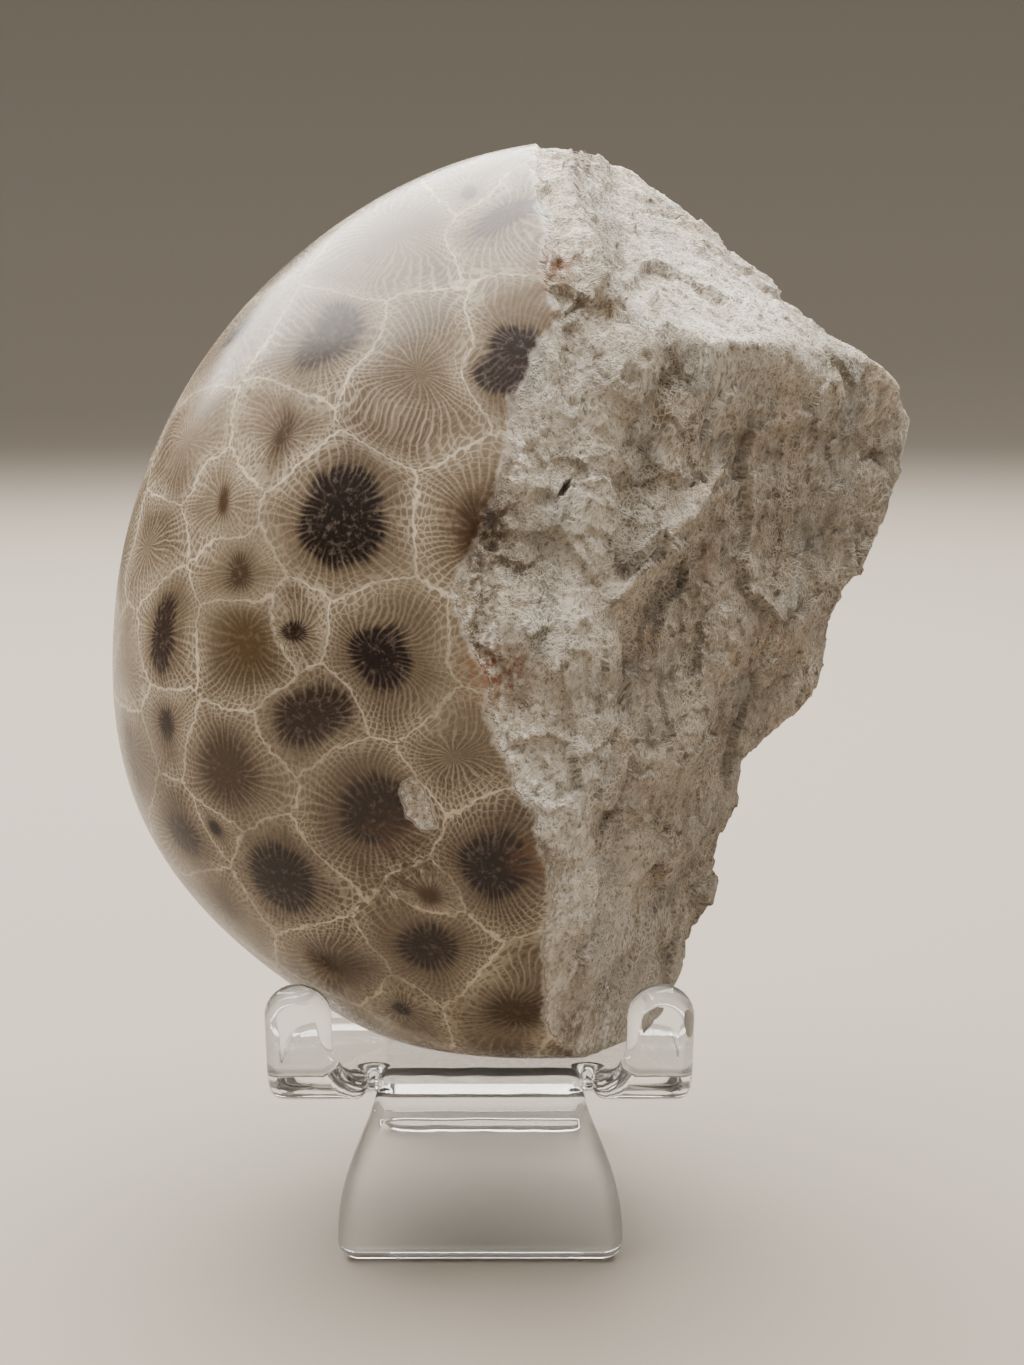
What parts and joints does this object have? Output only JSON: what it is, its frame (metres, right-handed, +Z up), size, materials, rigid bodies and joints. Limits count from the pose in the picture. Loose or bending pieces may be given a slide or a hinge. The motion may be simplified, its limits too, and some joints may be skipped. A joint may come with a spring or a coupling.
{
  "type": "fossil coral head",
  "caption": "Fossil coral head, one side polished to show its star-shaped corallites and the other left broken, leaning on a small clear acrylic display easel.",
  "frame": {"origin": "on the surface the stand stands on, under the middle of the object's bounding box", "axes": "+Z up; -Y towards the viewer, where the stand's lips and the stone's polished side are; +X to the viewer's right, the broken side"},
  "size_m": [0.0834, 0.057, 0.108],
  "materials": {
    "fossil_limestone": "taupe fossil limestone, polished on the round side, rough and sugary on the broken side",
    "clear_acrylic": "clear cast acrylic sheet, heat-bent, with flame-polished round edges"
  },
  "bodies": {
    "root": {"coral_head": "fossil_limestone", "display_stand": "clear_acrylic"}
  },
  "joints": []
}
